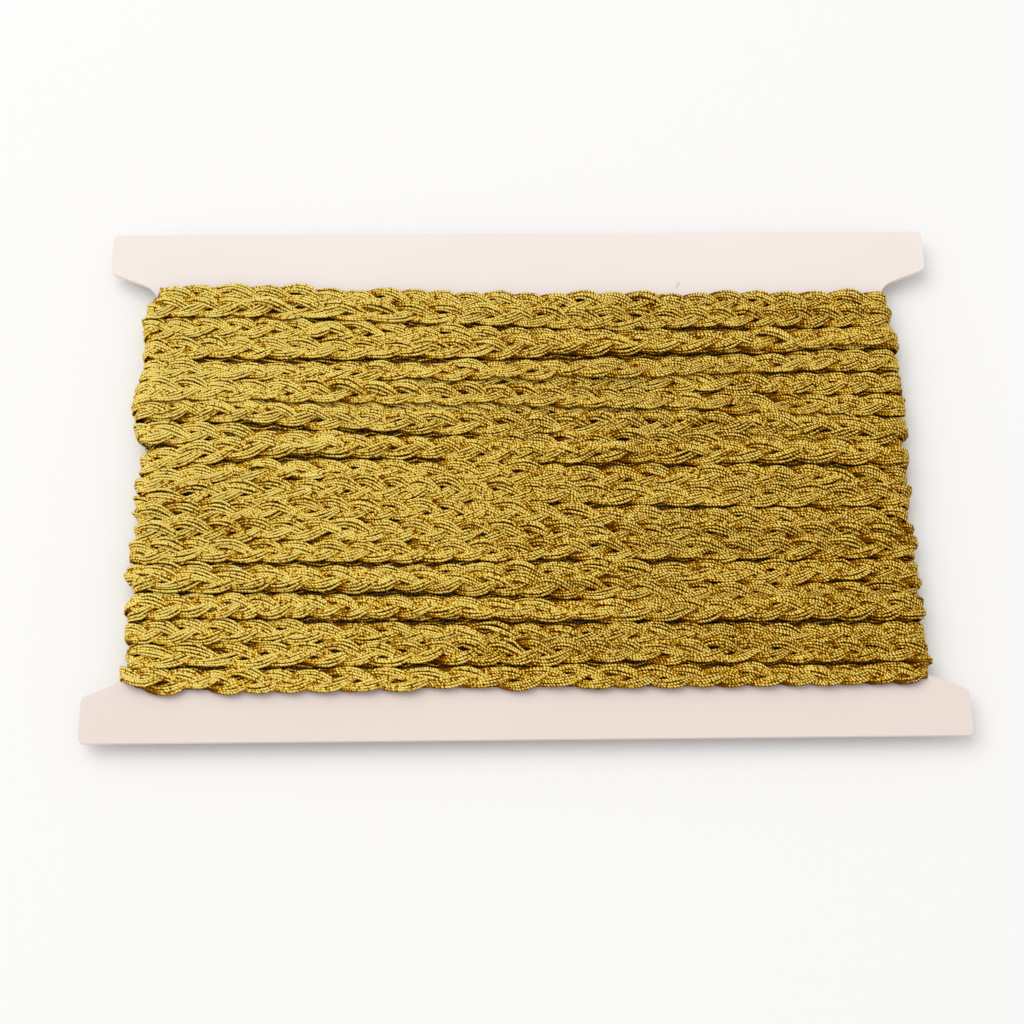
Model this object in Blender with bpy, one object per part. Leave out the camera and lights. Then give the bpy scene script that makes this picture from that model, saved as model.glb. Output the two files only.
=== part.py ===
"""Metallic braid trim wound on a die-cut card: the card and the wound braid as two closed solids.

Units are metres and +Z is up. X runs along the turns and Y runs across them, from the near flange to the
far flange. The origin is under the middle of the card, on the surface that the winding's underside rests on.
"""
import math

import bmesh
import bpy

MM = 0.001

# Card: a wide flange at each end, sloping shoulders and a narrower waist.
CARD_WIDTH = 220 * MM
CARD_DEPTH = 142 * MM
CARD_THICKNESS = 1.2 * MM
FLANGE_SIDE = 11.6 * MM
FLANGE_CORNER_RADIUS = 1.4 * MM
SHOULDER_CORNER_RADIUS = 1.8 * MM
SHOULDER_SLOPE = math.radians(22)
WAIST_WIDTH = 194 * MM
WAIST_FILLET_RADIUS = 6 * MM
CORNER_STEPS = 5

# Heights: the turns under the card, the card, and the turns over it.
CLEARANCE = 0.3 * MM
LAYER_BELOW = 3.4 * MM
LAYER_ABOVE = 3.7 * MM
CARD_BOTTOM = LAYER_BELOW + CLEARANCE
CARD_TOP = CARD_BOTTOM + CARD_THICKNESS
SLOT_FLOOR = CARD_BOTTOM - CLEARANCE
SLOT_CEILING = CARD_TOP + CLEARANCE
SLOT_MIDDLE = (SLOT_FLOOR + SLOT_CEILING) / 2
TOP = SLOT_CEILING + LAYER_ABOVE

# Relief of the turns: the depth of a valley, and of the two shoulders beside each ridge. A valley has its
# full depth between turns that lie a pitch or more apart, and less between turns that crowd together.
VALLEY_FRONT = 1.6 * MM
VALLEY_BACK = 1.2 * MM
FULL_VALLEY_PITCH = 5.2
BACK_STEEPNESS = 1.3
SHOULDER_CROWN = 0.78
SHOULDER_SHARE = 0.21

# Rounded sides, where the turns go round the edges of the waist.
FLAT_HALF = 97.2 * MM
SIDE_REACH = 3.2 * MM
SIDE_BULGE = 1.2 * MM
SIDE_ANGLE = math.radians(45)
PULL_START = 46 * MM
PULL_SHARE = 0.42
PULL_AT_FLAT_END = 0.1
PULL_AT_SIDE_ANGLE = 0.6

# Slot for the card, wider at its near end, where the turns lie over the start of the shoulders.
SLOT_HALF = WAIST_WIDTH / 2 + CLEARANCE
SLOT_HALF_NEAR = SLOT_HALF + 1.3 * MM
SLOT_CORNER_INSET = 1.5 * MM
SLOT_FLARE_Y = -51 * MM

# Reach of the far and near ends past the outer turns' middle lines, and how they round off:
# share of the reach, share of a full ridge, and share of the layer that is cut away.
FAR_REACH = 3.3 * MM
NEAR_REACH = 2.9 * MM
END_CUT_DEPTH = 2.2 * MM
END_ROUNDING = (
    (0.45, 0.80, 0.0),
    (0.85, 0.25, 0.2),
    (1.00, 0.00, 0.7),
)

# Middle lines of the turns on the front, from the far end to the near end: millimetres of Y at five
# stations along X, then how much of a full ridge shows at the left and right. A turn that dives under
# its neighbours fades to a low ridge.
STATIONS_X = (-94 * MM, -48 * MM, 0.0, 48 * MM, 94 * MM)
TURNS = (
    # left, mid left, middle, mid right, right, left ridge, right ridge
    (50.3, 49.4, 48.1, 48.0, 48.6, 0.7, 0.9),
    (47.4, 46.2, 44.6, 43.4, 44.0, 1.0, 1.0),
    (41.5, 40.5, 38.8, 38.2, 39.2, 1.0, 0.4),
    (35.2, 35.1, 35.7, 36.5, 37.2, 1.0, 1.0),
    (29.4, 29.0, 29.6, 30.3, 31.4, 1.0, 1.0),
    (27.0, 25.9, 25.3, 25.0, 25.6, 0.4, 0.9),
    (23.8, 22.4, 21.0, 19.0, 19.4, 1.0, 1.0),
    (20.8, 19.6, 17.9, 16.2, 13.6, 0.4, 0.8),
    (17.7, 16.5, 15.3, 12.2, 8.7, 1.0, 1.0),
    (10.5, 12.4, 9.9, 6.7, 4.0, 1.0, 1.0),
    (3.0, 6.9, 4.5, 2.7, 1.9, 0.9, 0.5),
    (-2.6, 1.6, -0.5, -1.2, -2.9, 1.0, 1.0),
    (-7.7, -4.9, -6.7, -7.3, -8.2, 1.0, 1.0),
    (-12.7, -11.3, -12.7, -13.1, -13.4, 1.0, 1.0),
    (-16.8, -16.7, -17.6, -17.8, -18.2, 0.8, 0.8),
    (-21.7, -22.5, -23.0, -22.8, -22.6, 1.0, 1.0),
    (-28.2, -29.0, -28.9, -28.6, -28.8, 1.0, 1.0),
    (-30.8, -31.9, -32.6, -33.4, -34.4, 0.5, 0.9),
    (-35.6, -37.0, -37.6, -38.0, -37.9, 0.6, 0.4),
    (-38.4, -39.0, -39.6, -39.8, -39.6, 1.0, 1.0),
    (-43.7, -44.0, -44.3, -44.2, -44.3, 1.0, 1.0),
    (-49.5, -49.7, -49.6, -49.5, -49.6, 1.0, 1.0),
    (-55.3, -55.2, -55.3, -55.1, -55.1, 1.0, 1.0),
)
FLAT_SHARES = (-1.0, -0.75, -0.5, -0.25, 0.0, 0.25, 0.5, 0.75, 1.0)

CARD_COLOUR = (0.86, 0.80, 0.76, 1.0)
BRAID_COLOUR = (0.40, 0.245, 0.045, 1.0)
SHARP_ANGLE = math.radians(40)


def clear_scene():
    """Remove every object that is in the scene."""
    for scene_object in list(bpy.data.objects):
        bpy.data.objects.remove(scene_object, do_unlink=True)


def make_material(name, colour, roughness, metallic):
    """Return a Principled material with one plain finish."""
    material = bpy.data.materials.new(name)
    material.use_nodes = True
    shader = material.node_tree.nodes["Principled BSDF"]
    shader.inputs["Base Color"].default_value = colour
    shader.inputs["Roughness"].default_value = roughness
    shader.inputs["Metallic"].default_value = metallic
    return material


def object_from_bmesh(name, shape, material):
    """Turn a bmesh into a linked object with outward faces and its own material."""
    bmesh.ops.recalc_face_normals(shape, faces=shape.faces)
    mesh = bpy.data.meshes.new(name)
    shape.to_mesh(mesh)
    shape.free()
    mesh.materials.append(material)
    mesh.shade_smooth()
    mesh.set_sharp_from_angle(angle=SHARP_ANGLE)
    new_object = bpy.data.objects.new(name, mesh)
    bpy.context.collection.objects.link(new_object)
    return new_object


def arc(centre_x, centre_y, radius, start, end):
    """Points along an arc between two angles in radians."""
    points = []
    for step in range(CORNER_STEPS + 1):
        angle = start + (end - start) * step / CORNER_STEPS
        points.append((centre_x + radius * math.cos(angle), centre_y + radius * math.sin(angle)))
    return points


def card_quarter():
    """Outline of the card's far right quarter, from the side of the waist to the far edge."""
    half_width = CARD_WIDTH / 2
    half_depth = CARD_DEPTH / 2
    half_waist = WAIST_WIDTH / 2
    turned = math.pi / 2 - SHOULDER_SLOPE
    slope_end_y = half_depth - FLANGE_SIDE
    slope_start_y = slope_end_y - (half_width - half_waist) * math.tan(SHOULDER_SLOPE)

    fillet_y = slope_start_y - WAIST_FILLET_RADIUS * math.tan(turned / 2)
    fillet = arc(half_waist + WAIST_FILLET_RADIUS, fillet_y, WAIST_FILLET_RADIUS, math.pi, math.pi - turned)

    shoulder_y = slope_end_y + SHOULDER_CORNER_RADIUS * math.tan(turned / 2)
    shoulder = arc(half_width - SHOULDER_CORNER_RADIUS, shoulder_y, SHOULDER_CORNER_RADIUS, -turned, 0.0)

    corner = arc(half_width - FLANGE_CORNER_RADIUS, half_depth - FLANGE_CORNER_RADIUS,
                 FLANGE_CORNER_RADIUS, 0.0, math.pi / 2)
    return fillet + shoulder + corner


def build_card():
    """Extrude the card's outline, four mirrored quarters, to its thickness."""
    far_right = card_quarter()
    far_left = [(-x, y) for x, y in reversed(far_right)]
    near_left = [(-x, -y) for x, y in far_right]
    near_right = [(x, -y) for x, y in reversed(far_right)]

    shape = bmesh.new()
    outline = far_right + far_left + near_left + near_right
    base = shape.faces.new([shape.verts.new((x, y, CARD_BOTTOM)) for x, y in outline])
    extruded = bmesh.ops.extrude_face_region(shape, geom=[base])
    raised = [item for item in extruded["geom"] if isinstance(item, bmesh.types.BMVert)]
    bmesh.ops.translate(shape, vec=(0, 0, CARD_THICKNESS), verts=raised)
    return object_from_bmesh("card", shape, make_material("card", CARD_COLOUR, 0.65, 0.0))


def mix(first, second, share):
    """Row of numbers that lies the given share of the way from one row to another."""
    return [start + (end - start) * share for start, end in zip(first, second)]


def crowned(row, crown):
    """Copy of a turn's row with its ridges lowered to the given share."""
    return list(row[:5]) + [row[5] * crown, row[6] * crown]


def moved(row, distance):
    """Copy of a turn's row moved along Y by a distance in metres."""
    return [y + distance / MM for y in row[:5]] + list(row[5:])


def valley_row(turn, following):
    """Row halfway between two turns, where the ridges are gone but for what fills a narrow valley."""
    left_fill = 1 - min(1.0, (turn[0] - following[0]) / FULL_VALLEY_PITCH)
    right_fill = 1 - min(1.0, (turn[4] - following[4]) / FULL_VALLEY_PITCH)
    row = mix(turn, following, 0.5)
    return row[:5] + [row[5] * left_fill, row[6] * right_fill]


def ring_rows():
    """Rows of the outer rings from the far end to the near end, each with its share of end rounding."""
    rows = []
    for reach, crown, cut in reversed(END_ROUNDING):
        rows.append((crowned(moved(TURNS[0], FAR_REACH * reach), crown), cut))
    for turn, following in zip(TURNS, TURNS[1:]):
        rows.append((crowned(turn, 1.0), 0.0))
        first_shoulder = mix(turn, following, SHOULDER_SHARE)[:5] + list(turn[5:])
        last_shoulder = mix(turn, following, 1 - SHOULDER_SHARE)[:5] + list(following[5:])
        rows.append((crowned(first_shoulder, SHOULDER_CROWN), 0.0))
        rows.append((valley_row(turn, following), 0.0))
        rows.append((crowned(last_shoulder, SHOULDER_CROWN), 0.0))
    rows.append((crowned(TURNS[-1], 1.0), 0.0))
    for reach, crown, cut in END_ROUNDING:
        rows.append((crowned(moved(TURNS[-1], -NEAR_REACH * reach), crown), cut))
    return rows


def row_y(row, x, pull):
    """Y of a ring at x. Near the flanges the sides are pulled in towards the middle of the waist."""
    clamped = max(STATIONS_X[0], min(STATIONS_X[-1], x))
    for index in range(len(STATIONS_X) - 1):
        left, right = STATIONS_X[index], STATIONS_X[index + 1]
        if clamped <= right:
            break
    y = (row[index] + (row[index + 1] - row[index]) * (clamped - left) / (right - left)) * MM
    drawn_in = max(0.0, abs(y) - PULL_START) * PULL_SHARE * pull
    return y - math.copysign(drawn_in, y)


def row_ridge(row, x):
    """Share of a full ridge at x, blended from the row's left and right values."""
    share = (max(-FLAT_HALF, min(FLAT_HALF, x)) + FLAT_HALF) / (2 * FLAT_HALF)
    return row[5] + (row[6] - row[5]) * share


def side_stations(direction):
    """The three stations on a rounded side: x direction, angle above the middle, pull."""
    stations = [(direction, SIDE_ANGLE, PULL_AT_SIDE_ANGLE), (direction, 0.0, 1.0),
                (direction, -SIDE_ANGLE, PULL_AT_SIDE_ANGLE)]
    return stations if direction > 0 else stations[::-1]


def outer_ring(row, cut):
    """Points of one outer ring: along the front, round the right, along the back, round the left."""
    def flat_point(share, on_front):
        """Point on the front or the back."""
        x = share * FLAT_HALF
        y = row_y(row, x, PULL_AT_FLAT_END if abs(share) == 1.0 else 0.0)
        valley = 1 - row_ridge(row, x)
        if on_front:
            return (x, y, TOP - VALLEY_FRONT * valley - END_CUT_DEPTH * cut)
        pressed_flat = 1 - SHOULDER_CROWN
        rise = min(1.0, max(0.0, valley - pressed_flat) * BACK_STEEPNESS)
        return (x, y, VALLEY_BACK * rise + END_CUT_DEPTH * cut)

    def side_point(direction, angle, pull):
        """Point on a rounded side."""
        front = flat_point(direction, True)
        back = flat_point(direction, False)
        limit = front[2] if angle >= 0 else back[2]
        reach = SIDE_REACH + SIDE_BULGE * row_ridge(row, direction * FLAT_HALF)
        x = direction * (FLAT_HALF + reach * math.cos(angle))
        z = SLOT_MIDDLE + (limit - SLOT_MIDDLE) * abs(math.sin(angle))
        return (x, row_y(row, x, pull), z)

    points = [flat_point(share, True) for share in FLAT_SHARES]
    points += [side_point(*station) for station in side_stations(1)]
    points += [flat_point(share, False) for share in reversed(FLAT_SHARES)]
    points += [side_point(*station) for station in side_stations(-1)]
    return points


def slot_ring(row, half_width):
    """Points of one ring of the slot, in the same order as an outer ring's."""
    def flat_point(share, height):
        """Point on the slot's ceiling or floor."""
        pull = PULL_AT_FLAT_END if abs(share) == 1.0 else 0.0
        return (share * (half_width - SLOT_CORNER_INSET), row_y(row, share * FLAT_HALF, pull), height)

    def side_point(direction, angle, pull):
        """Point on the slot's side: its upper corner, middle or lower corner."""
        z = SLOT_MIDDLE + (SLOT_CEILING - SLOT_MIDDLE) * angle / SIDE_ANGLE
        return (direction * half_width, row_y(row, direction * FLAT_HALF, pull), z)

    points = [flat_point(share, SLOT_CEILING) for share in FLAT_SHARES]
    points += [side_point(*station) for station in side_stations(1)]
    points += [flat_point(share, SLOT_FLOOR) for share in reversed(FLAT_SHARES)]
    points += [side_point(*station) for station in side_stations(-1)]
    return points


def build_winding():
    """Loft the winding round its slot: outer rings, then the slot's rings back to the far end."""
    rows = ring_rows()
    far_row, near_row = rows[0][0], rows[-1][0]
    flare_row = [SLOT_FLARE_Y / MM] * 5 + [0.0, 0.0]
    rings = [outer_ring(row, cut) for row, cut in rows]
    rings.append(slot_ring(near_row, SLOT_HALF_NEAR))
    rings.append(slot_ring(flare_row, SLOT_HALF))
    rings.append(slot_ring(far_row, SLOT_HALF))

    shape = bmesh.new()
    loops = [[shape.verts.new(point) for point in ring] for ring in rings]
    count = len(loops[0])
    for loop, following in zip(loops, loops[1:] + loops[:1]):
        for index in range(count):
            after = (index + 1) % count
            shape.faces.new((loop[index], loop[after], following[after], following[index]))
    return object_from_bmesh("winding", shape, make_material("braid", BRAID_COLOUR, 0.35, 0.9))


def main():
    """Build the card and the wound braid."""
    clear_scene()
    build_card()
    build_winding()


main()
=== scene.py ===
"""Gold metallic braid wound on a pale card: the looks of the part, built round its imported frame.

The braid is modelled cord by cord. One continuous path winds round the waist of the card; three strands of
parallel cords are plaited along it, and each turn is laid over the turns that are already there.
"""
import logging
import math
from dataclasses import dataclass, field
from enum import Enum
from typing import Any, Mapping, Sequence

import bpy
import numpy as np
from mathutils import Euler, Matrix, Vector


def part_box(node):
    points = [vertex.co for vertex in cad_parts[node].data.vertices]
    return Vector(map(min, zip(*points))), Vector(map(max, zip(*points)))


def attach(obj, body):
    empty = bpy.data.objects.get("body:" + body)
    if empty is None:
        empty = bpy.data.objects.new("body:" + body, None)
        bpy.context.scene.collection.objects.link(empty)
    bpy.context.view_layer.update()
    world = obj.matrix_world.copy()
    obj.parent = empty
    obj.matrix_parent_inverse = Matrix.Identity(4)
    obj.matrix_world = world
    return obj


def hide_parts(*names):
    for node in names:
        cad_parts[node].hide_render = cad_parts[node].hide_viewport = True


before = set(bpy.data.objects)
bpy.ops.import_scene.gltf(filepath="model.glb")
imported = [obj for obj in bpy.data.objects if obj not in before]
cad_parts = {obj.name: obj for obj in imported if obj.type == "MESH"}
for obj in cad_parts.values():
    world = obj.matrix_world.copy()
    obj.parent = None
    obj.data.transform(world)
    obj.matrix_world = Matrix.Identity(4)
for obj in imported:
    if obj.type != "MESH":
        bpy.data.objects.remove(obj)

Array = np.ndarray
MM = 0.001
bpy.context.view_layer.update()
LOG = logging.getLogger("braid_on_card")


class Level(Enum):
    """When a turn is laid down: the later it is, the higher it lies."""

    UNDER = 0
    BETWEEN = 1
    OVER = 2
    TOP = 3


class Signal:
    """A shader value that adds Math nodes when it is used in an expression."""

    def __init__(self, graph: "NodeGraph", socket: bpy.types.NodeSocket) -> None:
        """Wrap one output socket."""
        self.graph = graph
        self.socket = socket

    def apply(self, operation: str, *others: Any) -> "Signal":
        """Return a Math node's value for this signal and the others."""
        return self.graph.math(operation, self, *others)

    def __add__(self, other: Any) -> "Signal":
        """Add."""
        return self.apply("ADD", other)

    __radd__ = __add__

    def __sub__(self, other: Any) -> "Signal":
        """Subtract."""
        return self.apply("SUBTRACT", other)

    def __rsub__(self, other: Any) -> "Signal":
        """Subtract from a number."""
        return self.graph.math("SUBTRACT", other, self)

    def __mul__(self, other: Any) -> "Signal":
        """Multiply."""
        return self.apply("MULTIPLY", other)

    __rmul__ = __mul__

    def __truediv__(self, other: Any) -> "Signal":
        """Divide."""
        return self.apply("DIVIDE", other)

    def clamp(self) -> "Signal":
        """Limit to the range from 0 to 1."""
        return self.apply("MAXIMUM", 0.0).apply("MINIMUM", 1.0)


class NodeGraph:
    """The node tree of one material, with one way to add any node."""

    def __init__(self, name: str) -> None:
        """Make a material with an empty tree, a Principled shader and an output."""
        self.material = bpy.data.materials.new(name)
        self.material.use_nodes = True
        self.tree = self.material.node_tree
        self.tree.nodes.clear()
        self.shader = self.tree.nodes.new("ShaderNodeBsdfPrincipled")
        output = self.tree.nodes.new("ShaderNodeOutputMaterial")
        self.tree.links.new(self.shader.outputs["BSDF"], output.inputs["Surface"])

    def feed(self, socket: bpy.types.NodeSocket, value: Any) -> None:
        """Feed one input.

        Args:
            socket: The input.
            value: A signal or a socket to link, or a number or colour to set.
        """
        if isinstance(value, Signal):
            value = value.socket
        if isinstance(value, bpy.types.NodeSocket):
            self.tree.links.new(value, socket)
        else:
            socket.default_value = value

    def node(self, kind: str, settings: Mapping[str, Any], inputs: Mapping[Any, Any]) -> bpy.types.Node:
        """Add a node.

        Args:
            kind: The node's type.
            settings: Properties that are set before the inputs, with a ramp's stops under "stops".
            inputs: Values or links by socket name or index.

        Returns:
            The new node.
        """
        made = self.tree.nodes.new(kind)
        for name, value in settings.items():
            if name == "stops":
                self.set_stops(made.color_ramp, value)
            else:
                setattr(made, name, value)
        for name, value in inputs.items():
            self.feed(made.inputs[name], value)
        return made

    @staticmethod
    def set_stops(ramp: bpy.types.ColorRamp, stops: Sequence[tuple]) -> None:
        """Give a ramp its stops.

        Args:
            ramp: The ramp, which has two stops at first.
            stops: A position and a colour for each.
        """
        while len(ramp.elements) < len(stops):
            ramp.elements.new(0.5)
        for element, (position, colour) in zip(ramp.elements, stops):
            element.position = position
            element.color = colour

    def math(self, operation: str, *values: Any) -> Signal:
        """Return the value of a Math node."""
        made = self.node("ShaderNodeMath", {"operation": operation}, dict(enumerate(values)))
        return Signal(self, made.outputs[0])

    def mix(self, factor: Any, first: Any, second: Any, blend: str = "MIX") -> bpy.types.NodeSocket:
        """Return the colour of a Mix node, which lays the second colour over the first by the factor."""
        made = self.node("ShaderNodeMix", {"data_type": "RGBA", "blend_type": blend},
                         {0: factor, 6: first, 7: second})
        return made.outputs[2]

    def place(self) -> bpy.types.NodeSocket:
        """Return the object's own coordinates."""
        return self.node("ShaderNodeTexCoord", {}, {}).outputs["Object"]

    def uv(self, layer: str) -> tuple[Signal, Signal]:
        """Read a UV map.

        Args:
            layer: Name of the map.

        Returns:
            Its two coordinates.
        """
        source = self.node("ShaderNodeUVMap", {"uv_map": layer}, {})
        split = self.node("ShaderNodeSeparateXYZ", {}, {0: source.outputs[0]})
        return Signal(self, split.outputs[0]), Signal(self, split.outputs[1])

    def attribute(self, name: str) -> Signal:
        """Return a number kept on the mesh's points."""
        return Signal(self, self.node("ShaderNodeAttribute", {"attribute_name": name}, {}).outputs["Fac"])

    def noise(self, scale: float, detail: float, roughness: float = 0.5, place: Any = None) -> Signal:
        """Add a noise texture.

        Args:
            scale: Waves in a metre.
            detail: Number of finer layers.
            roughness: Weight of the finer layers.
            place: Coordinates to use in place of the object's own.

        Returns:
            The noise, mostly between 0.3 and 0.7.
        """
        made = self.node("ShaderNodeTexNoise", {},
                         {"Vector": place if place is not None else self.place(), "Scale": scale,
                          "Detail": detail, "Roughness": roughness})
        return Signal(self, made.outputs[0])

    def bump(self, height: Signal, distance: float, strength: float = 1.0) -> bpy.types.NodeSocket:
        """Return the normal of a Bump node."""
        inputs = {"Height": height, "Distance": distance, "Strength": strength}
        return self.node("ShaderNodeBump", {}, inputs).outputs[0]

    def finish(self, inputs: Mapping[str, Any]) -> bpy.types.Material:
        """Finish the material.

        Args:
            inputs: Values or links by the name of the shader's own input.

        Returns:
            The material.
        """
        for name, value in inputs.items():
            self.feed(self.shader.inputs[name], value)
        return self.material


@dataclass(frozen=True)
class Patches:
    """Cloudy patches from 0 to 1: noise with its low part cut off and the rest stretched."""

    scale: float
    detail: float
    floor: float
    gain: float

    def signal(self, graph: NodeGraph) -> Signal:
        """Return the patches."""
        return ((graph.noise(self.scale, self.detail) - self.floor) * self.gain).clamp()


@dataclass(frozen=True)
class CordFinish:
    """Two-ply twisted metallic cord, with painted highlights on its beads and painted shade in its grooves
    and where it dives under.
    """

    # Ramp colours: shadow and brown are painted shade, gold is the cord's own colour, and the last stop is a
    # painted highlight.
    shadow: tuple = (0.11, 0.028, 0.001, 1.0)
    brown: tuple = (0.31, 0.110, 0.004, 1.0)
    gold: tuple = (0.76, 0.445, 0.013, 1.0)
    painted_highlight: tuple = (0.90, 0.735, 0.19, 1.0)
    brown_from: float = 0.14
    gold_from: float = 0.31
    painted_highlight_from: float = 0.62
    edge_tint: tuple = (1.0, 0.66, 0.10, 1.0)
    twist_mm: float = 1.56
    skew: float = 0.6
    crest_power: float = 1.4
    shade_patches: Patches = Patches(120.0, 3.0, 0.30, 2.5)
    # Painted glints: random beads are lifted towards the painted highlight.
    painted_glint: Patches = Patches(1350.0, 1.0, 0.32, 3.0)
    glow: float = 0.17
    painted_glint_gain: float = 1.72
    groove: float = 0.76
    patchy_groove_shade: float = 0.24
    crispness: float = 0.90
    crispness_across: float = 3.5
    # Painted light: the cord is painted lighter towards the left and the far side, where the key light falls.
    painted_light: float = 0.95
    painted_light_across: float = 1.8
    painted_light_away: float = 1.6
    roughness: float = 0.24
    dark_roughness: float = 0.22
    metallic: float = 0.40
    dielectric_gloss: float = 0.16
    bump_distance: float = 0.15 * MM

    def material(self) -> bpy.types.Material:
        """Return the gold cord material, which follows each cord's own UV map and its depth in the plait,
        with painted light and shade in its colour.
        """
        graph = NodeGraph("gold_cord")
        around, along = graph.uv(CORD_UV)
        ply = ((around * self.skew - along / self.twist_mm) * (2 * math.pi)).apply("COSINE").apply("ABSOLUTE")
        tone = self.tone(graph, around, ply)
        # The tone picks the colour: low tones give painted shade and the top gives a painted highlight.
        colour = graph.node("ShaderNodeValToRGB", {"stops": (
            (0.0, self.shadow), (self.brown_from, self.brown),
            (self.gold_from, self.gold), (self.painted_highlight_from, self.painted_highlight))}, {0: tone.clamp()})
        rough = self.roughness + (1 - tone.clamp()) * self.dark_roughness
        return graph.finish({"Base Color": colour.outputs[0], "Metallic": self.metallic, "Roughness": rough,
                             "Specular Tint": self.edge_tint, "Specular IOR Level": self.dielectric_gloss,
                             "Normal": graph.bump(ply, self.bump_distance)})

    def tone(self, graph: NodeGraph, around: Signal, ply: Signal) -> Signal:
        """Work out the cord's tone, which is painted light and shade.

        Painted shade falls on its sides, in the grooves between its plies (deeper in random patches and
        weaker towards the left) and where it dives under. Painted light makes it lighter towards the left and
        the far side, and painted glints lift random beads.

        Args:
            graph: The material's nodes.
            around: Share of the way round the cord.
            ply: 1 on top of each ply and 0 in the groove between two.

        Returns:
            The tone, from 0 in deep painted shade to 1 or more on a painted glint.
        """
        # Painted shade where the cord dives under, from its depth in the plait.
        depth = graph.attribute(CORD_DEPTH)
        # Painted shade on the cord's sides, away from its crest.
        outward = (around * (2 * math.pi)).apply("SINE")
        crest = outward.clamp().apply("POWER", self.crest_power)
        shade_patches = self.shade_patches.signal(graph)
        painted_glint = self.painted_glint.signal(graph)
        split = graph.node("ShaderNodeSeparateXYZ", {}, {0: graph.place()})
        across, away = Signal(graph, split.outputs[0]), Signal(graph, split.outputs[1])
        # Painted shade in the grooves between the plies, deeper in random patches and weaker towards the
        # left.
        crisp = (self.crispness + across * self.crispness_across).clamp()
        bead = 1 - crisp * (self.groove + self.patchy_groove_shade * shade_patches) * (1 - ply * ply)
        # Painted light: lighter towards the left and the far side.
        painted_light = self.painted_light - across * self.painted_light_across + away * self.painted_light_away
        # Painted glints: random beads lifted towards the painted highlight.
        return crest * bead * depth * painted_light * (self.glow + painted_glint * self.painted_glint_gain)


@dataclass(frozen=True)
class CoreFinish:
    """Inner turns, seen only through the gaps: gold darkened with painted shade, with rows of dim beads."""

    # Painted shade: both colours are the inner turns' gold darkened, as the gaps between the outer turns lie
    # in shade.
    colour: tuple = (0.045, 0.018, 0.004, 1.0)
    bead: tuple = (0.34, 0.20, 0.04, 1.0)
    beads_in_metre: float = 1150.0
    unevenness: float = 0.5
    bead_edge: float = 1.6
    metallic: float = 0.8
    roughness: float = 0.45
    bump_distance: float = 0.3 * MM

    def material(self) -> bpy.types.Material:
        """Return the material of the inner turns."""
        graph = NodeGraph("gold_core")
        beads = graph.node("ShaderNodeTexVoronoi", {"feature": "F1"}, {
            "Vector": graph.place(), "Scale": self.beads_in_metre, "Randomness": self.unevenness})
        round_bead = (1 - Signal(graph, beads.outputs[0]) * self.bead_edge).clamp()
        colour = graph.mix(round_bead, self.colour, self.bead)
        return graph.finish({"Base Color": colour, "Metallic": self.metallic, "Roughness": self.roughness,
                             "Normal": graph.bump(round_bead, self.bump_distance)})


@dataclass(frozen=True)
class CardFinish:
    """Smooth off-white card with a slight pink cast, faint fibres, one short scratch and painted shade
    towards its near side.
    """

    pale: tuple = (0.90, 0.82, 0.77, 1.0)
    warm: tuple = (0.865, 0.78, 0.725, 1.0)
    fibre: tuple = (0.70, 0.62, 0.57, 1.0)
    fibre_share: float = 0.22
    fibres_in_metre: float = 1400.0
    fibre_detail: float = 4.0
    fibre_roughness: float = 0.6
    fibre_squeeze: tuple = (1.0, 3.0, 1.0)
    clouds_in_metre: float = 22.0
    cloud_gain: float = 1.4
    cloud_floor: float = 0.2
    near_painted_shade: tuple = (0.93, 0.885, 0.865, 1.0)
    near_shade_gain: float = 7.0
    scratch: tuple = (0.62, 0.47, 0.40, 1.0)
    scratch_place: tuple = (42.7 * MM, 54.9 * MM, 4.4 * MM)
    scratch_half: tuple = (1.6 * MM, 0.6 * MM, 3.0 * MM)
    scratch_slant: float = 0.9
    scratch_share: float = 0.8
    roughness: float = 0.62
    roughness_spread: float = 0.2
    gloss: float = 0.35
    bump_distance: float = 0.03 * MM
    bump_strength: float = 0.5

    def material(self) -> bpy.types.Material:
        """Return the card's material."""
        graph = NodeGraph("pale_card")
        squeezed = graph.node("ShaderNodeMapping", {}, {"Vector": graph.place(), "Scale": self.fibre_squeeze})
        fibres = graph.noise(self.fibres_in_metre, self.fibre_detail, self.fibre_roughness,
                             squeezed.outputs[0])
        cloud = graph.noise(self.clouds_in_metre, 2.0)
        colour = graph.mix((cloud * self.cloud_gain - self.cloud_floor).clamp(), self.pale, self.warm)
        colour = graph.mix((fibres - 0.5).apply("ABSOLUTE") * self.fibre_share, colour, self.fibre)
        split = graph.node("ShaderNodeSeparateXYZ", {}, {0: graph.place()})
        # Painted shade: the card is multiplied darker and warmer towards its near side, -Y.
        near_shade = (0.5 - Signal(graph, split.outputs[1]) * self.near_shade_gain).clamp()
        colour = graph.mix(near_shade, colour, self.near_painted_shade, "MULTIPLY")
        colour = graph.mix(self.scratch_signal(graph), colour, self.scratch)
        rough = self.roughness + (fibres - 0.5) * self.roughness_spread
        return graph.finish({"Base Color": colour, "Roughness": rough, "Specular IOR Level": self.gloss,
                             "Normal": graph.bump(fibres, self.bump_distance, self.bump_strength)})

    def scratch_signal(self, graph: NodeGraph) -> Signal:
        """Return how strongly the slanting scratch on the far flange shows."""
        moved = graph.node("ShaderNodeMapping", {"vector_type": "TEXTURE"}, {
            "Vector": graph.place(), "Location": self.scratch_place,
            "Rotation": (0.0, 0.0, self.scratch_slant), "Scale": self.scratch_half})
        reach = graph.node("ShaderNodeVectorMath", {"operation": "LENGTH"}, {0: moved.outputs[0]})
        return (1 - Signal(graph, reach.outputs["Value"])).clamp() * self.scratch_share


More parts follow.
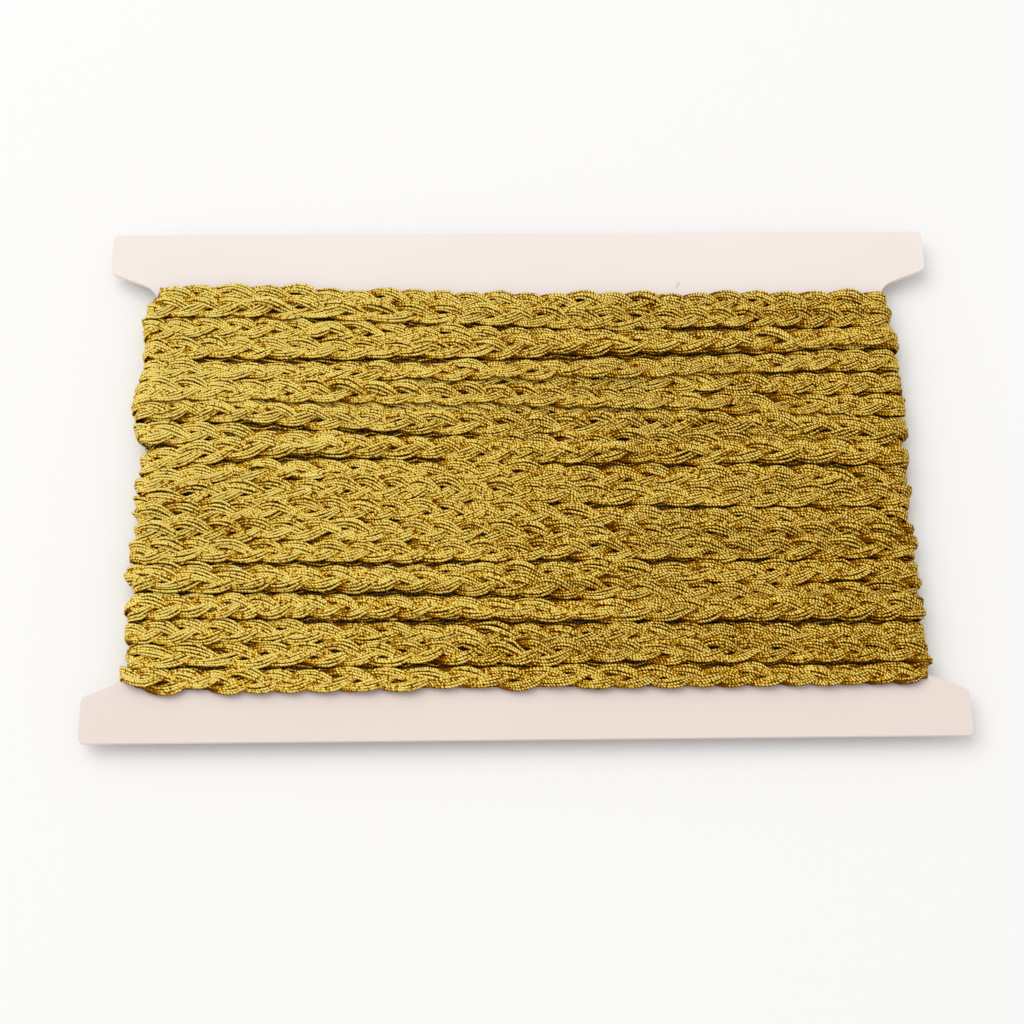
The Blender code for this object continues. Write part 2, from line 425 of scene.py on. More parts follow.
@dataclass(frozen=True)
class FloorFinish:
    """Plain pale floor with very faint clouds."""

    colour: tuple = (0.93, 0.925, 0.92, 1.0)
    cloud: tuple = (0.90, 0.90, 0.90, 1.0)
    clouds_in_metre: float = 3.0
    cloud_share: float = 0.1
    roughness: float = 0.8
    gloss: float = 0.2

    def material(self) -> bpy.types.Material:
        """Return the floor's material."""
        graph = NodeGraph("pale_floor")
        clouds = graph.noise(self.clouds_in_metre, 1.0)
        colour = graph.mix(clouds * self.cloud_share, self.colour, self.cloud)
        return graph.finish({"Base Color": colour, "Roughness": self.roughness,
                             "Specular IOR Level": self.gloss})


@dataclass(frozen=True)
class Turn:
    """One turn of braid across the front: Y at five stations in millimetres, its width and its level."""

    left: float
    mid_left: float
    middle: float
    mid_right: float
    right: float
    width: float
    level: Level

    def stations(self) -> Array:
        """Return Y at the stations, in millimetres."""
        return np.array((self.left, self.mid_left, self.middle, self.mid_right, self.right))


@dataclass(frozen=True)
class Slack:
    """A place where a turn draws narrow: its number, how far along it and half length in mm, and share."""

    turn: int
    along: float
    half: float
    share: float


@dataclass(frozen=True)
class Bulge:
    """How far the turns near one Y bulge past the plain oval, left and right, in millimetres."""

    y: float
    left: float
    right: float


TURNS = (
    Turn(51.3, 50.3, 48.7, 48.4, 48.4, 6.8, Level.UNDER),
    Turn(47.7, 46.6, 44.4, 43.9, 43.6, 6.2, Level.TOP),
    Turn(42.0, 40.9, 38.1, 36.8, 37.5, 6.4, Level.BETWEEN),
    Turn(35.4, 35.3, 35.6, 36.4, 37.3, 6.0, Level.OVER),
    Turn(29.3, 28.3, 28.6, 29.8, 31.2, 6.2, Level.OVER),
    Turn(25.6, 25.8, 25.9, 24.8, 24.7, 6.6, Level.BETWEEN),
    Turn(22.9, 22.3, 21.0, 18.8, 18.3, 6.5, Level.OVER),
    Turn(20.2, 18.2, 17.2, 15.6, 11.3, 6.0, Level.UNDER),
    Turn(17.7, 15.0, 12.7, 12.4, 8.9, 6.1, Level.BETWEEN),
    Turn(11.6, 8.3, 7.4, 6.9, 3.0, 6.3, Level.BETWEEN),
    Turn(3.0, 7.1, 4.9, 4.4, 2.4, 6.2, Level.BETWEEN),
    Turn(-3.2, 0.8, -1.1, -2.1, -3.5, 6.3, Level.BETWEEN),
    Turn(-8.0, -4.8, -6.2, -7.3, -7.8, 6.4, Level.BETWEEN),
    Turn(-12.6, -10.7, -12.2, -13.7, -14.2, 6.4, Level.BETWEEN),
    Turn(-16.8, -16.3, -17.4, -18.3, -18.5, 6.4, Level.BETWEEN),
    Turn(-21.4, -22.1, -22.3, -22.3, -22.4, 6.0, Level.BETWEEN),
    Turn(-27.5, -29.0, -28.9, -28.3, -28.7, 6.4, Level.BETWEEN),
    Turn(-29.3, -29.8, -31.4, -34.3, -33.1, 6.2, Level.BETWEEN),
    Turn(-35.6, -36.8, -38.0, -38.2, -38.0, 5.8, Level.UNDER),
    Turn(-37.2, -37.2, -38.3, -38.8, -38.5, 6.2, Level.OVER),
    Turn(-43.0, -43.6, -44.7, -44.9, -44.9, 6.3, Level.BETWEEN),
    Turn(-49.8, -49.1, -49.1, -49.4, -49.8, 6.2, Level.TOP),
    Turn(-55.1, -55.9, -55.7, -55.8, -54.6, 5.9, Level.BETWEEN),
)
SLACKS = (
    Slack(9, 68.0, 15.0, 0.58),
    Slack(10, 118.0, 10.0, 0.20),
    Slack(8, 22.0, 9.0, 0.25),
    Slack(11, 52.0, 20.0, 0.12),
)
SIDES = (
    Bulge(50.0, 0.3, -0.5),
    Bulge(44.0, 1.6, -0.1),
    Bulge(38.0, 1.0, 0.2),
    Bulge(32.0, 1.0, 1.0),
    Bulge(26.0, 1.0, 1.5),
    Bulge(20.0, 1.5, 2.2),
    Bulge(14.0, 2.4, 1.7),
    Bulge(8.0, 0.3, 0.0),
    Bulge(3.0, -0.2, 0.1),
    Bulge(-3.0, 1.0, 0.5),
    Bulge(-9.0, 0.4, 0.7),
    Bulge(-14.0, -0.8, -0.3),
    Bulge(-19.0, 0.6, 0.3),
    Bulge(-25.0, 2.2, 1.0),
    Bulge(-30.0, -0.4, 0.8),
    Bulge(-36.0, 0.1, 0.2),
    Bulge(-41.0, 1.1, 0.8),
    Bulge(-47.0, 1.1, 1.4),
    Bulge(-52.0, 0.0, 1.5),
    Bulge(-57.0, 0.8, 1.4),
)
WAIST_HALF = 97.3 * MM
CARD_CLEARANCE = 0.3 * MM
BEFORE_LAST = 1.001
CORD_UV = "cord"
CORD_DEPTH = "depth"


@dataclass(frozen=True)
class Former:
    """The flat oval round which the turns lie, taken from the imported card.

    A place on it is a distance along one turn, a Y and a height above its surface. A turn starts at the left
    end of the front and goes along the front, round the right, along the back and round the left.
    """

    flat_half: float
    surface_radius: float
    middle_z: float
    nominal_height: float = 1.5 * MM
    room_above: float = 4.0 * MM
    room_below: float = 2.95 * MM
    knee_share: float = 0.62

    @classmethod
    def from_frame(cls) -> "Former":
        """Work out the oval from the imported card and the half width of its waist."""
        card_low, card_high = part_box("card")
        radius = (card_high[2] - card_low[2]) / 2 + CARD_CLEARANCE
        return cls(WAIST_HALF - radius, radius, (card_high[2] + card_low[2]) / 2)

    @property
    def flat(self) -> float:
        """Length of the front, and of the back."""
        return 2 * self.flat_half

    @property
    def bend(self) -> float:
        """Length of the path round one side, at the nominal height."""
        return math.pi * (self.surface_radius + self.nominal_height)

    @property
    def turn_length(self) -> float:
        """Length of one whole turn."""
        return 2 * self.flat + 2 * self.bend

    def frame_at(self, distance: Array) -> tuple[Array, Array]:
        """Find the middle of the oval and its outward direction along a turn.

        Args:
            distance: Distances along a turn.

        Returns:
            The X of the middle line, and the angle of the outward direction from +X towards +Z.
        """
        flat, bend = self.flat, self.bend
        along = np.mod(distance, self.turn_length)
        on_right = np.clip((along - flat) / bend, 0, 1)
        on_left = np.clip((along - 2 * flat - bend) / bend, 0, 1)
        middle_x = np.where(along < flat + bend, np.minimum(along, flat) - self.flat_half,
                            self.flat_half - np.clip(along - flat - bend, 0, flat))
        angle = math.pi / 2 - math.pi * on_right - math.pi * on_left
        return middle_x, angle

    def settle(self, height: Array, angle: Array) -> Array:
        """Press heights down softly to the room that there is: little under the card, more above it.

        Args:
            height: Heights above the former.
            angle: Outward directions, as frame_at gives them.

        Returns:
            The pressed heights.
        """
        below = np.clip(-np.sin(angle), 0, 1)
        room = self.room_above + (self.room_below - self.room_above) * below
        knee = self.knee_share * room
        over = np.maximum(height - knee, 0)
        return np.minimum(height, knee) + (room - knee) * np.tanh(over / (room - knee))

    def point(self, distance: Array, y: Array, height: Array) -> Array:
        """Find points in space.

        Args:
            distance: Distances along a turn.
            y: Their Y.
            height: Their heights above the former.

        Returns:
            Rows of X, Y and Z.
        """
        middle_x, angle = self.frame_at(distance)
        reach = self.surface_radius + self.settle(height, angle) + self.bulge(angle, y)
        return np.stack([middle_x + reach * np.cos(angle), y, self.middle_z + reach * np.sin(angle)], -1)

    @staticmethod
    def bulge(angle: Array, y: Array) -> Array:
        """Work out how far the uneven sides stand out past the oval.

        Args:
            angle: Outward directions, as frame_at gives them.
            y: Places across the turns.

        Returns:
            The added reach.
        """
        rows = sorted(SIDES, key=lambda row: row.y)
        places = np.array([row.y for row in rows]) * MM
        left = np.interp(y, places, np.array([row.left for row in rows]) * MM)
        right = np.interp(y, places, np.array([row.right for row in rows]) * MM)
        facing = np.cos(angle)
        return np.where(facing < 0, left, right) * facing ** 2

    def side_share(self, distance: Array) -> Array:
        """Return 1 in the middle of a side, falling to 0 on the front and back."""
        _, angle = self.frame_at(distance)
        return np.cos(angle) ** 2


def smooth(values: Array, sigma: float, axis: int) -> Array:
    """Blur an array along one axis with a Gaussian, holding its ends.

    Args:
        values: The array.
        sigma: Spread of the Gaussian, in samples.
        axis: The axis to blur along.

    Returns:
        The blurred array, of the same shape.
    """
    reach = max(1, int(3 * sigma))
    steps = np.arange(-reach, reach + 1)
    kernel = np.exp(-0.5 * (steps / sigma) ** 2)
    kernel /= kernel.sum()
    pad = [(0, 0)] * values.ndim
    pad[axis] = (reach, reach)
    padded = np.pad(values, pad, mode="edge")
    return np.apply_along_axis(lambda line: np.convolve(line, kernel, mode="valid"), axis, padded)


def wander(rng: np.random.Generator, count: int, spacing: float, wavelength: float) -> Array:
    """Return a smooth random line of unit spread.

    Args:
        rng: Seeded random source.
        count: Number of samples.
        spacing: Distance between samples.
        wavelength: Rough length of one wave.

    Returns:
        The samples.
    """
    knots = max(4, int(count * spacing / wavelength * 2))
    rough = rng.normal(size=knots)
    line = np.interp(np.linspace(0, knots - 1, count), np.arange(knots), rough)
    return smooth(line, max(1.0, wavelength / spacing / 5), 0)


@dataclass
class Lay:
    """How the braid lies: its middle line, width and the height of what is under it, all along its length."""

    former: Former
    step: float = 1.0 * MM
    braid_thickness: float = 1.45 * MM
    first_height: float = 0.60 * MM
    lateral_samples: int = 17
    map_step: float = 0.25 * MM
    map_half: float = 64 * MM
    side_narrowing: float = 0.10
    left_spread: float = 0.10
    spread_reach: float = 34 * MM
    pull_start: float = 49.5 * MM
    pull_share: float = 0.25
    stray: float = 0.12 * MM
    stray_wave: float = 60 * MM
    width_spread: float = 0.03
    width_wave: float = 45 * MM
    line_blur: float = 4.0
    width_blur: float = 10.0
    edge_thinning: float = 0.22
    across_blur: float = 1.6
    along_blur: float = 3.0
    last_blur: float = 2.0
    sink: float = 0.35 * MM
    seed: int = 11
    y: Array = field(init=False)
    width: Array = field(init=False)
    support: Array = field(init=False)

    def __post_init__(self) -> None:
        """Lay all the turns."""
        self.per_turn = int(round(self.former.turn_length / self.step))
        self.step = self.former.turn_length / self.per_turn
        self.make_lines()
        self.make_support()

    @property
    def length(self) -> float:
        """Length of the whole braid."""
        return self.former.turn_length * len(TURNS)

    def make_lines(self) -> None:
        """Work out the middle line and the width of every turn."""
        former = self.former
        along = np.arange(self.per_turn) * self.step
        stations = np.linspace(0, former.flat, 5)
        back_start = former.flat + former.bend
        back_end = back_start + former.flat
        lines, widths = [], []
        for index, turn in enumerate(TURNS):
            following = TURNS[min(index + 1, len(TURNS) - 1)]
            front = self.through(turn.stations() * MM, stations, along)
            share = np.clip((along - back_start) / (back_end - back_start), 0, 1)
            back = turn.right * MM + (following.left - turn.right) * MM * share
            lines.append(np.where(along < back_start, front, back))
            widths.append((turn.width + (following.width - turn.width) * share) * MM)
        line = np.concatenate(lines)
        rng = np.random.default_rng(self.seed)
        line = smooth(line, self.line_blur, 0)
        line = line + wander(rng, line.size, self.step, self.stray_wave) * self.stray
        whole = np.arange(line.size) * self.step
        side = former.side_share(whole)
        excess = np.maximum(0, np.abs(line) - self.pull_start) * self.pull_share * side
        self.y = line - np.sign(line) * excess
        width = smooth(np.concatenate(widths), self.width_blur, 0)
        for slack in SLACKS:
            middle = slack.turn * former.turn_length + slack.along * MM
            width = width * (1 - slack.share * np.exp(-((whole - middle) / (slack.half * MM)) ** 2))
        width = width * (1 + wander(rng, line.size, self.step, self.width_wave) * self.width_spread)
        from_left = np.mod(whole, former.turn_length)
        width = width * (1 + self.left_spread * np.exp(-(from_left / self.spread_reach) ** 2))
        self.width = width * (1 - self.side_narrowing * side)

    @staticmethod
    def through(values: Array, stations: Array, along: Array) -> Array:
        """Draw a smooth line through station values, level past its ends.

        Args:
            values: The values.
            stations: Their distances along a turn, from 0.
            along: Distances at which the line is wanted.

        Returns:
            The line.
        """
        clipped = np.clip(along, stations[0], stations[-1])
        fit = np.polynomial.polynomial.polyfit(stations / stations[-1], values, 4)
        return np.polynomial.polynomial.polyval(clipped / stations[-1], fit)

    def make_support(self) -> None:
        """Lay the turns one on another, in the order of their levels, and keep the height under each.

        The height is blurred, because braid bridges small steps, but a turn sinks only a little into others.
        """
        rows = int(2 * self.map_half / self.map_step)
        heights = np.full((self.per_turn, rows), self.first_height)
        lateral = np.linspace(-0.5, 0.5, self.lateral_samples)
        support = np.zeros((len(TURNS), self.per_turn, self.lateral_samples))
        order = sorted(range(len(TURNS)), key=lambda index: (TURNS[index].level.value, index))
        columns = np.arange(self.per_turn)[:, None]
        profile = self.braid_thickness * (1 - self.edge_thinning * np.abs(2 * lateral) ** 3)
        for index in order:
            run = slice(index * self.per_turn, (index + 1) * self.per_turn)
            y = self.y[run, None] + self.width[run, None] * lateral[None, :]
            cells = np.clip(((y + self.map_half) / self.map_step).astype(int), 0, rows - 1)
            below = heights[columns, cells]
            eased = smooth(smooth(below, self.across_blur, 1), self.along_blur, 0)
            laid = np.maximum(eased, below - self.sink)
            support[index] = laid
            self.raise_map(heights, self.y[run], self.width[run], laid + profile)
        whole = support.reshape(-1, self.lateral_samples)
        self.support = smooth(whole, self.last_blur, 0)

    def raise_map(self, heights: Array, y: Array, width: Array, tops: Array) -> None:
        """Raise the height map to the top of a turn.

        Args:
            heights: The map, a row of lines across for each step along one turn.
            y: The turn's middle line.
            width: Its width.
            tops: Its top, across its width.
        """
        rows = heights.shape[1]
        lines = (np.arange(rows) + 0.5) * self.map_step - self.map_half
        for column in range(self.per_turn):
            share = (lines - y[column]) / width[column]
            inside = np.abs(share) <= 0.5
            top = np.interp(share[inside], np.linspace(-0.5, 0.5, self.lateral_samples), tops[column])
            heights[column, inside] = np.maximum(heights[column, inside], top)

    def sample(self, distance: Array, values: Array) -> Array:
        """Read a line of samples at distances along the braid."""
        return np.interp(distance / self.step, np.arange(values.size), values)

    def height(self, distance: Array, share: Array) -> Array:
        """Read the height under the braid.

        Args:
            distance: Distances along the braid.
            share: Places across it, from -0.5 to 0.5 of its width.

        Returns:
            Heights above the former.
        """
        row = np.clip(distance / self.step, 0, self.support.shape[0] - BEFORE_LAST)
        column = np.clip((share + 0.5) * (self.lateral_samples - 1), 0, self.lateral_samples - BEFORE_LAST)
        row_index, column_index = row.astype(int), column.astype(int)
        row_part, column_part = row - row_index, column - column_index
        near = self.support[row_index, column_index] * (1 - column_part) \
            + self.support[row_index, column_index + 1] * column_part
        far = self.support[row_index + 1, column_index] * (1 - column_part) \
            + self.support[row_index + 1, column_index + 1] * column_part
        return near * (1 - row_part) + far * row_part


@dataclass
class Plait:
    """The flat three-strand plait: every strand is a rounded band of parallel twisted cords."""

    lay: Lay
    strands: int = 3
    cords_per_strand: int = 4
    period: float = 24.6 * MM
    cord_radius: float = 0.41 * MM
    flat_step: float = 1.74 * MM
    side_step: float = 0.8 * MM
    ring_sides: int = 6
    band_share: float = 0.155
    band_narrow: float = 0.82
    band_swell: float = 0.38
    weave_height: float = 0.30 * MM
    sharpness: float = -0.02
    swing_gain: float = 1.08
    band_crown: float = 0.20 * MM
    strand_wander: float = 0.34 * MM
    strand_wave: float = 16 * MM
    cord_wander: float = 0.11 * MM
    cord_wave: float = 7 * MM
    cord_lift: float = 0.07 * MM
    lift_wave: float = 8 * MM
    drift: float = 0.8
    drift_wave: float = 90 * MM
    twist_start: float = 10.0
    twist_wander: float = 1.2
    twist_wave: float = 25 * MM
    twist_spread: float = 0.07
    depth_middle: float = 0.76
    depth_range: float = 0.55
    seed: int = 5

    def ring_places(self) -> Array:
        """Return distances along the braid, closest round the sides, up to its end on the back."""
        former = self.lay.former
        flat = np.linspace(0, former.flat, int(former.flat / self.flat_step), endpoint=False)
        bend = former.flat + np.linspace(0, former.bend, int(former.bend / self.side_step), endpoint=False)
        half = np.concatenate([flat, bend])
        turn = np.concatenate([half, half + former.flat + former.bend])
        starts = np.arange(len(TURNS)) * former.turn_length
        places = (starts[:, None] + turn[None, :]).ravel()
        return places[places < self.lay.length - former.bend]

    def wander_along(self, places: Array, rng: np.random.Generator, wavelength: float) -> Array:
        """Draw a smooth random line along the braid.

        Args:
            places: Distances along the braid.
            rng: Seeded random source.
            wavelength: Rough length of one wave.

        Returns:
            The line at the places, of unit spread.
        """
        spacing = 2 * MM
        count = int(self.lay.length / spacing)
        line = wander(rng, count, spacing, wavelength)
        return np.interp(places, np.linspace(0, self.lay.length, count), line / line.std())

    def cord_tube(self, strand: int, cord: int, sway: Sequence[Array], rng: np.random.Generator) -> "Tube":
        """Work out one cord.

        Args:
            strand: Which of the three strands.
            cord: Which cord of the strand.
            sway: How far the strand strays sideways and up, at the places of the rings.
            rng: Seeded random source.

        Returns:
            The cord as a tube.
        """
        lay = self.lay
        sharp = self.sharpness
        places = self.ring_places()
        phase = 2 * math.pi * (places / self.period + strand / self.strands) + self.phase_drift(places)
        width = lay.sample(places, lay.width)
        over = np.clip(-np.sin(2 * phase), 0, 1)
        band_half = self.band_share * width * (self.band_narrow + self.band_swell * over)
        swing = self.swing_gain * ((0.5 - self.band_share) * width - self.cord_radius)
        across = 2 * cord / (self.cords_per_strand - 1) - 1
        offset = across * band_half
        slope = swing * 2 * math.pi / self.period * (np.cos(phase) - 3 * sharp * np.cos(3 * phase))
        stretch = np.sqrt(1 + slope ** 2)
        shifted = np.clip(places - offset * slope / stretch, 0, lay.length)
        lateral = swing * (np.sin(phase) - sharp * np.sin(3 * phase)) + offset / stretch
        lateral = lateral + sway[0] * self.strand_wander
        lateral = lateral + self.wander_along(places, rng, self.cord_wave) * self.cord_wander
        lift = -self.weave_height * np.sin(2 * phase) + self.band_crown * (0.5 - across ** 2)
        lift = lift + sway[1] * self.cord_wander
        lift = lift + self.wander_along(places, rng, self.lift_wave) * self.cord_lift
        here = lay.sample(shifted, lay.width)
        height = lay.height(shifted, lateral / here) + lay.braid_thickness / 2 + lift
        path = lay.former.point(shifted, lay.sample(shifted, lay.y) + lateral, height)
        top = self.weave_height + self.band_crown / 2
        # The depth paints shade in the cord material: darker where the cord dives under the other strands.
        depth = np.clip(self.depth_middle + self.depth_range * lift / top, 0, 1)
        return Tube(path, self.cord_radius, self.ring_sides, depth, self.twist(places, rng))

    def twist(self, places: Array, rng: np.random.Generator) -> Array:
        """Work out how far a cord's plies run ahead of their regular twist.

        Args:
            places: Distances along the braid.
            rng: Seeded random source.

        Returns:
            Millimetres along the cord, to be added.
        """
        twist = rng.uniform(0, self.twist_start)
        twist = twist + self.wander_along(places, rng, self.twist_wave) * self.twist_wander
        return twist + places / MM * rng.uniform(-self.twist_spread, self.twist_spread)

    def phase_drift(self, places: Array) -> Array:
        """Return how far the plait runs ahead or behind, the same for all its strands."""
        return self.wander_along(places, np.random.default_rng(self.seed), self.drift_wave) * self.drift

    def build(self) -> list[bpy.types.Object]:
        """Build the cords as closed tubes, joined into one piece for each place across the strands."""
        rng = np.random.default_rng(self.seed + 1)
        places = self.ring_places()
        sways = [[self.wander_along(places, rng, self.strand_wave) for _ in range(2)]
                 for _ in range(self.strands)]
        pieces = []
        for cord in range(self.cords_per_strand):
            tubes = [self.cord_tube(strand, cord, sways[strand], rng) for strand in range(self.strands)]
            pieces.append(join_tubes(f"braid_cords_{cord + 1}", tubes))
        return pieces


@dataclass
class Tube:
    """A closed tube along a path, with a UV map: share of the way round, and millimetres along.

    Its depth is 1 where it lies on top of the plait and less where it dives under, and sets the cord's
    painted shade. Its twist is added to the millimetres along, so that no two cords have their plies side by
    side.
    """

    path: Array
    radius: float
    sides: int
    depth: Array
    twist: Array

    def frames(self) -> tuple[Array, Array]:
        """Find two directions across the path at each point, without twist.

        Returns:
            The first directions, which keep near +Y, and the second, which are square to them.
        """
        tangent = np.gradient(self.path, axis=0)
        tangent /= np.linalg.norm(tangent, axis=1, keepdims=True)
        upright = np.array((0.0, 1.0, 0.0))
        first = upright - tangent * (tangent @ upright)[:, None]
        first /= np.linalg.norm(first, axis=1, keepdims=True)
        return first, np.cross(tangent, first)

    def vertices(self) -> Array:
        """Return the rings of points, ring after ring, then the middles of the two ends."""
        first, second = self.frames()
        angle = np.arange(self.sides) * 2 * math.pi / self.sides
        ring = (first[:, None, :] * np.cos(angle)[None, :, None]
                + second[:, None, :] * np.sin(angle)[None, :, None]) * self.radius
        rings = (self.path[:, None, :] + ring).reshape(-1, 3)
        return np.concatenate([rings, self.path[:1], self.path[-1:]])

    def depths(self) -> Array:
        """Return the depth at every point of the tube."""
        return np.concatenate([np.repeat(self.depth, self.sides), self.depth[:1], self.depth[-1:]])

    def faces(self, start: int) -> tuple[Array, Array]:
        """Number the tube's faces.

        Args:
            start: Number of the tube's first point.

        Returns:
            The quads of the wall and the triangles of the two ends.
        """
        count, sides = len(self.path), self.sides
        ring = np.arange(count - 1)[:, None] * sides
        side = np.arange(sides)[None, :]
        after = (side + 1) % sides
        quads = np.stack([ring + side, ring + after, ring + sides + after, ring + sides + side], -1)
        tip = count * sides
        last = (count - 1) * sides
        side, after = side[0], after[0]
        first_end = np.stack([np.full(sides, tip), after, side], -1)
        last_end = np.stack([np.full(sides, tip + 1), last + side, last + after], -1)
        return quads.reshape(-1, 4) + start, np.concatenate([first_end, last_end]) + start

    def uvs(self) -> tuple[Array, Array]:
        """Work out the UV map.

        Returns:
            The UV corners of the quads and of the end triangles.
        """
        step = np.linalg.norm(np.diff(self.path, axis=0), axis=1)
        along = np.concatenate([[0.0], np.cumsum(step)]) / MM + self.twist
        count, sides = len(self.path), self.sides
        low = np.repeat(along[:-1], sides)
        high = np.repeat(along[1:], sides)
        left = np.tile(np.arange(sides) / sides, count - 1)
        right = left + 1 / sides
        quads = np.stack([np.stack([left, low], -1), np.stack([right, low], -1),
                          np.stack([right, high], -1), np.stack([left, high], -1)], 1)
        ends = np.zeros((2 * sides, 3, 2))
        return quads.reshape(-1, 2), ends.reshape(-1, 2)


def mesh_object(name: str, vertices: Array, quads: Array, triangles: Array) -> bpy.types.Object:
    """Make a linked, smooth-shaded mesh object.

    Args:
        name: The piece's name.
        vertices: Points in metres.
        quads: Corners of the four-sided faces.
        triangles: Corners of the three-sided faces, which come after the quads.

    Returns:
        The object.
    """
    mesh = bpy.data.meshes.new(name)
    mesh.vertices.add(len(vertices))
    mesh.vertices.foreach_set("co", np.ascontiguousarray(vertices, dtype=np.float32).ravel())
    corners = np.concatenate([quads.ravel(), triangles.ravel()]).astype(np.int32)
    mesh.loops.add(len(corners))
    mesh.loops.foreach_set("vertex_index", corners)
    starts = np.concatenate([np.arange(len(quads)) * 4, len(quads) * 4 + np.arange(len(triangles)) * 3])
    mesh.polygons.add(len(starts))
    mesh.polygons.foreach_set("loop_start", starts.astype(np.int32))
    mesh.update(calc_edges=True)
    mesh.shade_smooth()
    piece = bpy.data.objects.new(name, mesh)
    bpy.context.collection.objects.link(piece)
    return piece


def join_tubes(name: str, tubes: Sequence[Tube]) -> bpy.types.Object:
    """Make one mesh of several tubes, with their UV map and depth.

    Args:
        name: The piece's name.
        tubes: The tubes.

    Returns:
        The object.
    """
    points, quads, triangles, quad_uvs, end_uvs = [], [], [], [], []
    start = 0
    for tube in tubes:
        vertices = tube.vertices()
        walls, ends = tube.faces(start)
        wall_uv, end_uv = tube.uvs()
        points.append(vertices)
        quads.append(walls)
        triangles.append(ends)
        quad_uvs.append(wall_uv)
        end_uvs.append(end_uv)
        start += len(vertices)
    piece = mesh_object(name, np.concatenate(points), np.concatenate(quads), np.concatenate(triangles))
    layer = piece.data.uv_layers.new(name=CORD_UV)
    layer.data.foreach_set("uv", np.concatenate(quad_uvs + end_uvs).astype(np.float32).ravel())
    depth = piece.data.attributes.new(name=CORD_DEPTH, type="FLOAT", domain="POINT")
    depth.data.foreach_set("value", np.concatenate([tube.depths() for tube in tubes]).astype(np.float32))
    return piece


@dataclass
class Core:
    """The inner turns under the visible ones, as one closed sleeve that fills the gaps with gold in painted
    shade.
    """

    lay: Lay
    high_rim: float = 2.9 * MM
    low_rim: float = 2.0 * MM
    rows: int = 40
    along_step: float = 3.0 * MM
    ridge: float = 0.03 * MM
    height: float = 0.12 * MM
    inner_height: float = 0.04 * MM
    cord_radius: float = 0.33 * MM
    cord_rise: float = 0.8
    cord_turns: int = 74
    cord_sway: float = 0.55 * MM
    cord_wave: float = 8.2 * MM
    cord_lift: float = 0.1 * MM
    cord_sides: int = 6
    cord_depth: float = 0.42
    wave_drift: float = 4.0
    drift_wave: float = 300 * MM
    ridges_per_mm: float = 2.2
    ridge_start: float = 0.4
    ring_step: float = 2.6 * MM
    seed: int = 21

    def rims(self, along: Array) -> tuple[Array, Array]:
        """Find the two rims of the inner turns.

        Args:
            along: Distances along one turn.

        Returns:
            The lowest and the highest Y there.
        """
        lay = self.lay
        last = lay.former.turn_length * (len(TURNS) - 1)
        return lay.sample(along + last, lay.y) - self.low_rim, lay.sample(along, lay.y) + self.high_rim

    def cords(self) -> bpy.types.Object:
        """Build the inner cords, which show through the gaps, as one long swaying cord."""
        lay, former = self.lay, self.lay.former
        rng = np.random.default_rng(self.seed)
        places = np.arange(0, former.turn_length * self.cord_turns, self.ring_step)
        low, high = self.rims(np.mod(places, former.turn_length))
        share = places / places[-1]
        phase = places * 2 * math.pi / self.cord_wave
        sway = np.sin(phase + wander(rng, places.size, self.ring_step, self.drift_wave) * self.wave_drift)
        y = high - self.cord_radius + (low - high + 2 * self.cord_radius) * share + sway * self.cord_sway
        height = self.height + self.cord_radius * self.cord_rise + self.cord_lift * np.cos(phase)
        path = former.point(places, y, height)
        # Painted shade: the inner cords get a low depth, so the cord material darkens them as lying in the
        # gaps' shade.
        depth = np.full(places.size, self.cord_depth)
        tube = Tube(path, self.cord_radius, self.cord_sides, depth, np.zeros(places.size))
        return join_tubes("inner_cords", [tube])

    def build(self) -> bpy.types.Object:
        """Build the sleeve."""
        former = self.lay.former
        columns = int(former.turn_length / self.along_step)
        along = np.arange(columns) * former.turn_length / columns
        low, high = self.rims(along)
        share = np.linspace(0, 1, self.rows)[:, None]
        lines = low + (high - low) * share
        ridge = self.ridge * np.sin(lines / MM * self.ridges_per_mm + self.ridge_start)
        outer = former.point(np.tile(along, self.rows), lines.ravel(), (self.height + ridge).ravel())
        inner = former.point(np.tile(along, self.rows), lines.ravel(), np.full(lines.size, self.inner_height))
        vertices = np.concatenate([outer, inner])
        row = np.arange(self.rows - 1)[:, None] * columns
        column = np.arange(columns)[None, :]
        after = (column + 1) % columns
        skin = np.stack([row + column, row + after, row + columns + after, row + columns + column], -1)
        skin = skin.reshape(-1, 4)
        lining = skin[:, ::-1] + outer.shape[0]
        base, top = np.arange(columns), (self.rows - 1) * columns + np.arange(columns)
        after = (base + 1) % columns
        shift = outer.shape[0]
        low_rim = np.stack([base, base + shift, after + shift, after], -1)
        top_after = (self.rows - 1) * columns + after
        high_rim = np.stack([top, top_after, top_after + shift, top + shift], -1)
        quads = np.concatenate([skin, lining, low_rim, high_rim])
        return mesh_object("inner_turns", vertices, quads, np.zeros((0, 3), dtype=int))


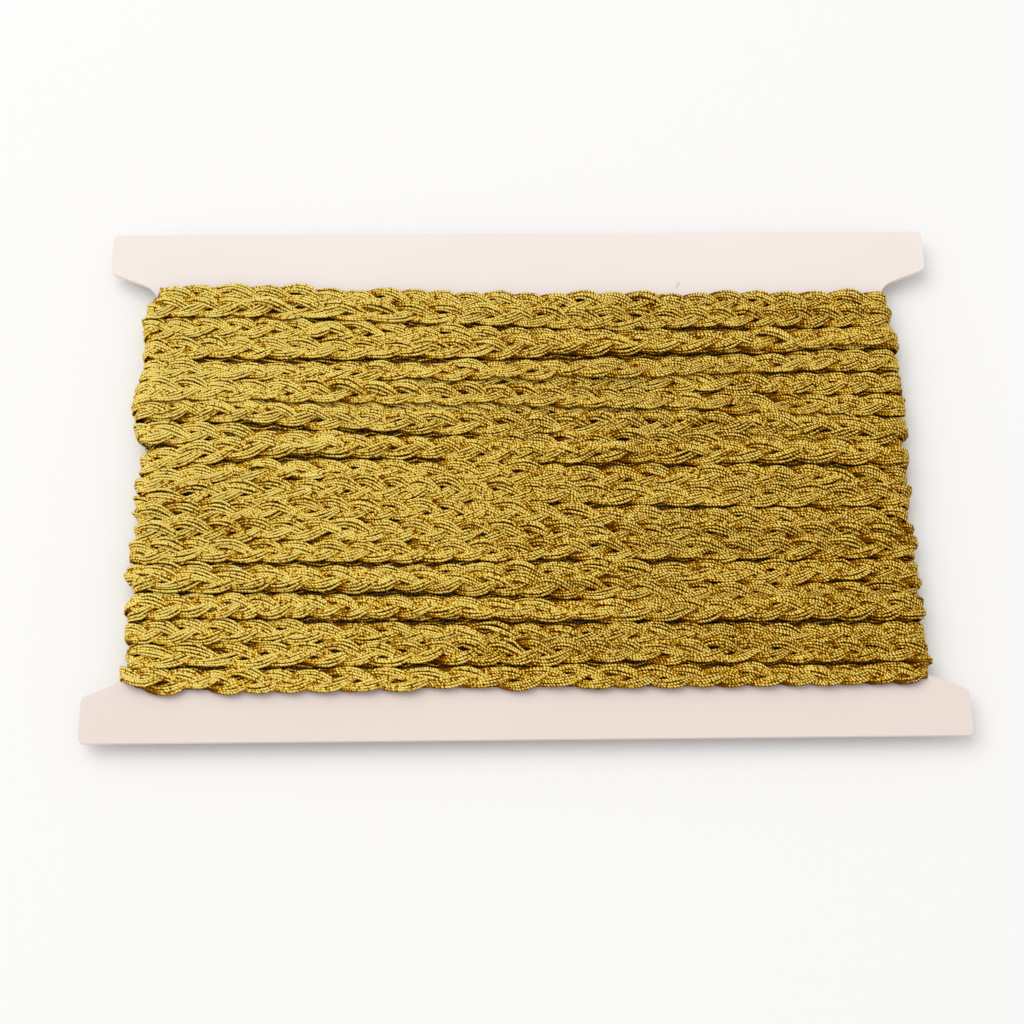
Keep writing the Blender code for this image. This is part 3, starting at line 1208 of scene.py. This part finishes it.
@dataclass
class Studio:
    """Pale floor, soft lights and the camera."""

    floor_size: float = 3.0
    camera_place: tuple = (-12.13 * MM, -197.8 * MM, 467.8 * MM)
    camera_turn: tuple = (0.38397, -0.0140, -0.01405)
    lens: float = 68.34
    nearest_seen: float = 10 * MM
    key_place: tuple = (-1.72, 1.42, 3.15)
    key_size: float = 3.8
    key_power: float = 74.5
    key_colour: tuple = (1.0, 0.99, 0.975)
    sky_colour: tuple = (1.0, 1.0, 1.0, 1.0)
    sky_strength: float = 0.73

    def build(self) -> None:
        """Add the floor, the lights and the camera."""
        bpy.ops.object.select_all(action="DESELECT")
        bpy.ops.mesh.primitive_plane_add(size=self.floor_size, location=(0, 0, 0))
        floor = bpy.context.active_object
        floor.name = "floor"
        floor.data.materials.append(FloorFinish().material())
        self.add_camera()
        self.add_key_light()
        world = bpy.data.worlds.new("studio_world")
        world.use_nodes = True
        background = world.node_tree.nodes["Background"]
        background.inputs["Color"].default_value = self.sky_colour
        background.inputs["Strength"].default_value = self.sky_strength
        bpy.context.scene.world = world
        bpy.context.scene.view_settings.view_transform = "Standard"

    def add_camera(self) -> None:
        """Add the camera at the photograph's angle."""
        data = bpy.data.cameras.new("camera")
        data.lens = self.lens
        data.clip_start = self.nearest_seen
        camera = bpy.data.objects.new("camera", data)
        camera.location = self.camera_place
        camera.rotation_euler = Euler(self.camera_turn, "XYZ")
        bpy.context.collection.objects.link(camera)
        bpy.context.scene.camera = camera

    def add_key_light(self) -> None:
        """Add the soft square light, which faces the middle of the object."""
        data = bpy.data.lights.new("key", "AREA")
        data.size = self.key_size
        data.energy = self.key_power
        data.color = self.key_colour
        light = bpy.data.objects.new("key", data)
        light.location = self.key_place
        light.rotation_euler = (-Vector(self.key_place)).to_track_quat("-Z", "Y").to_euler()
        bpy.context.collection.objects.link(light)


def dress_card() -> None:
    """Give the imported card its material."""
    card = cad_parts["card"]
    material = CardFinish().material()
    for slot in card.material_slots:
        slot.material = material


def main() -> None:
    """Build every piece and report it."""
    logging.basicConfig(level=logging.INFO)
    former = Former.from_frame()
    lay = Lay(former)
    cord_material = CordFinish().material()
    pieces = Plait(lay).build()
    inner = Core(lay)
    core = inner.build()
    core.data.materials.append(CoreFinish().material())
    pieces.append(inner.cords())
    for piece in pieces:
        piece.data.materials.append(cord_material)
    for piece in pieces + [core]:
        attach(piece, "root")
        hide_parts("winding")
        LOG.info("%s: %d faces", piece.name, len(piece.data.polygons))
    dress_card()
    Studio().build()


if __name__ == "__main__":
    main()
